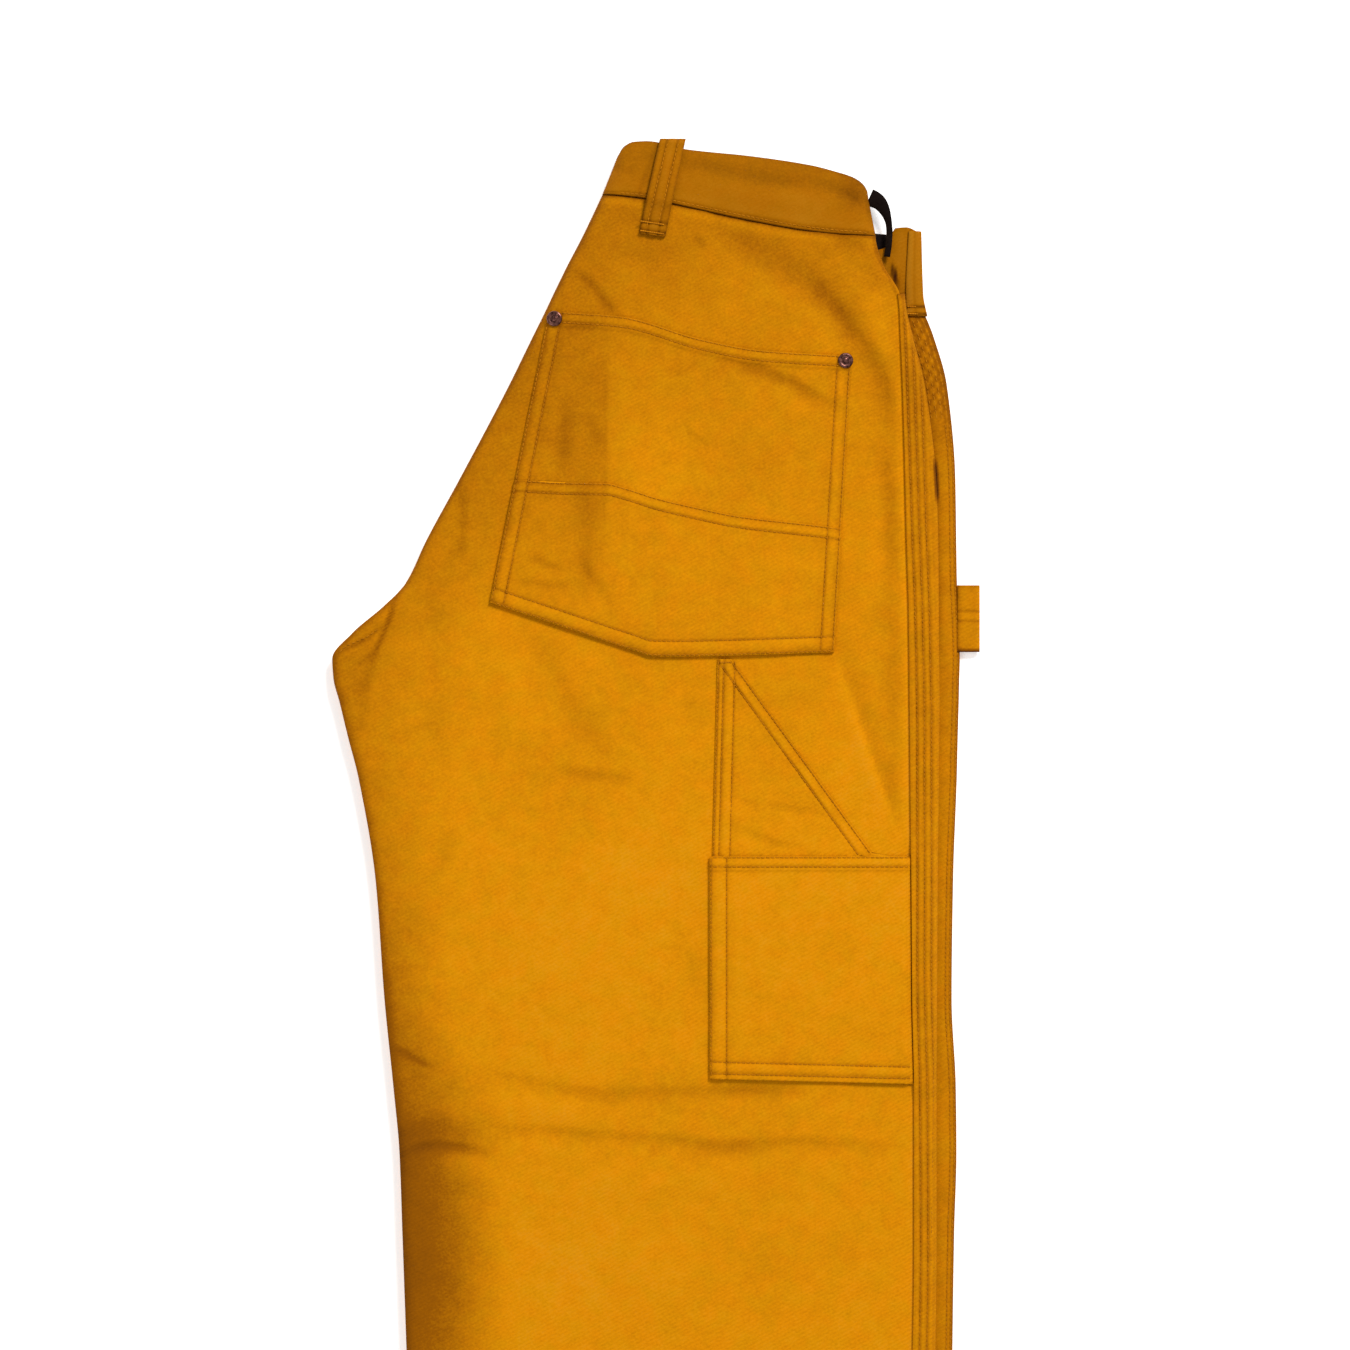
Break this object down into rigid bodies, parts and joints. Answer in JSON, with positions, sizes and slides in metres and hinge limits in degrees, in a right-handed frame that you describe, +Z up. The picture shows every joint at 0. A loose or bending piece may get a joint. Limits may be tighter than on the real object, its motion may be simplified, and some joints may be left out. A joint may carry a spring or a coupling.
{
  "type": "carpenter pants",
  "caption": "Canvas work trousers folded in half along the centre seams and laid flat, back pocket, tool pockets and hammer loop showing.",
  "frame": {"origin": "on the surface that the pants lie on, below the middle of their box", "axes": "+Y runs up the legs from the hems to the waist, +X from the crotch to the outseam, +Z up from the surface"},
  "size_m": [0.3896, 1.0964, 0.0189],
  "materials": {
    "twill": "matte brushed cotton twill, mustard yellow, with thread in the same colour",
    "facing": "matte near-black cotton",
    "copper": "dull reddish copper",
    "button_metal": "satin"
  },
  "bodies": {
    "root": {"back_right": "twill", "front_right": "twill", "front_left": "twill", "back_left": "twill", "waistband_back_right": "twill", "waistband_front_right": "twill", "waistband_front_left": "twill", "waistband_back_left": "twill", "back_pocket_right": "twill", "pocket_reinforcement_right": "twill", "rule_pocket": "twill", "tool_pocket": "twill", "fly_flap": "twill", "belt_loop_back_right": "twill", "belt_loop_side_left": "twill", "hammer_loop": "twill", "waist_facing": "facing", "rivet_left": "copper", "rivet_right": "copper", "waist_button": "button_metal"}
  },
  "joints": []
}
